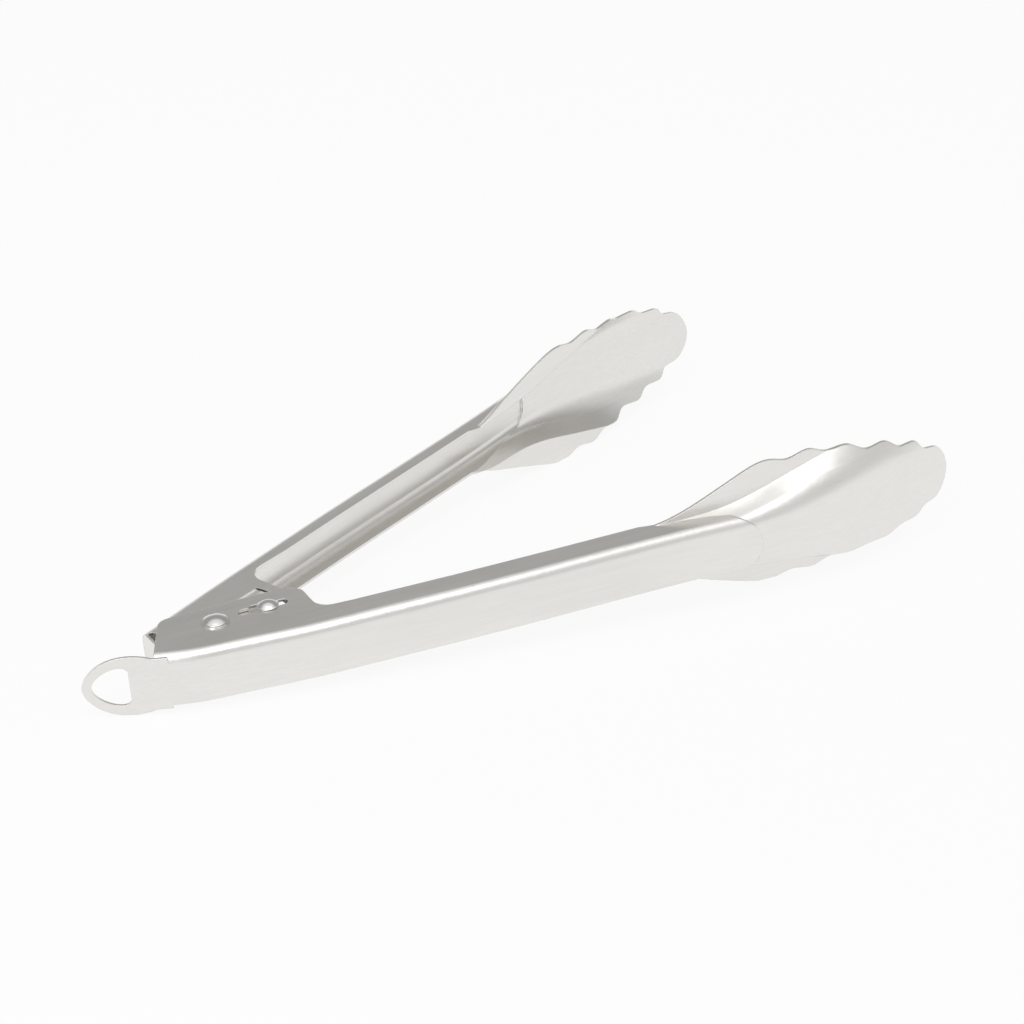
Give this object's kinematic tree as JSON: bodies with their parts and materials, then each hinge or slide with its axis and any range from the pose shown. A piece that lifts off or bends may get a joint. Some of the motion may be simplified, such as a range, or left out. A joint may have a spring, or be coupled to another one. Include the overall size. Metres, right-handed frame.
{
  "type": "kitchen tongs",
  "caption": "Spring loaded kitchen tongs: two sheet steel channel arms with scalloped spoon heads, a riveted pivot, a sliding lock pin and a hanging loop.",
  "frame": {"origin": "centre of the underside of the tongs lying open on their side, at the lowest point of the heads", "axes": "+X from the pivot towards the tips, +Z along the pivot rivet, arms open symmetrically about the XZ plane"},
  "size_m": [0.2854, 0.1408, 0.0437],
  "materials": {
    "brushed_sheet": "satin brushed stainless sheet with polished bends",
    "polished_fastener": "tumbled stainless rivets and washers",
    "spring_wire": "drawn stainless spring wire"
  },
  "bodies": {
    "outer": {"outer_arm": "brushed_sheet", "pivot_rivet": "polished_fastener", "pivot_washer_upper": "polished_fastener", "pivot_washer_lower": "polished_fastener", "pivot_sleeve": "polished_fastener", "torsion_spring": "spring_wire"},
    "inner": {"inner_arm": "brushed_sheet"},
    "lock": {"lock_pin": "polished_fastener"}
  },
  "joints": [
    {"name": "arm_hinge", "type": "hinge", "parent": "outer", "child": "inner", "pos_m": [-0.0981, 0, 0.02185], "axis": [0, 0, -1], "range_deg": [0, 31], "stiffness_Nm_per_rad": 0.6, "springref_deg": -28.65, "deforming": ["torsion_spring"]},
    {"name": "lock_slide", "type": "slide", "parent": "outer", "child": "lock", "axis": [0.971, -0.239, 0], "range_m": [-0.0035, 0.0045]}
  ]
}
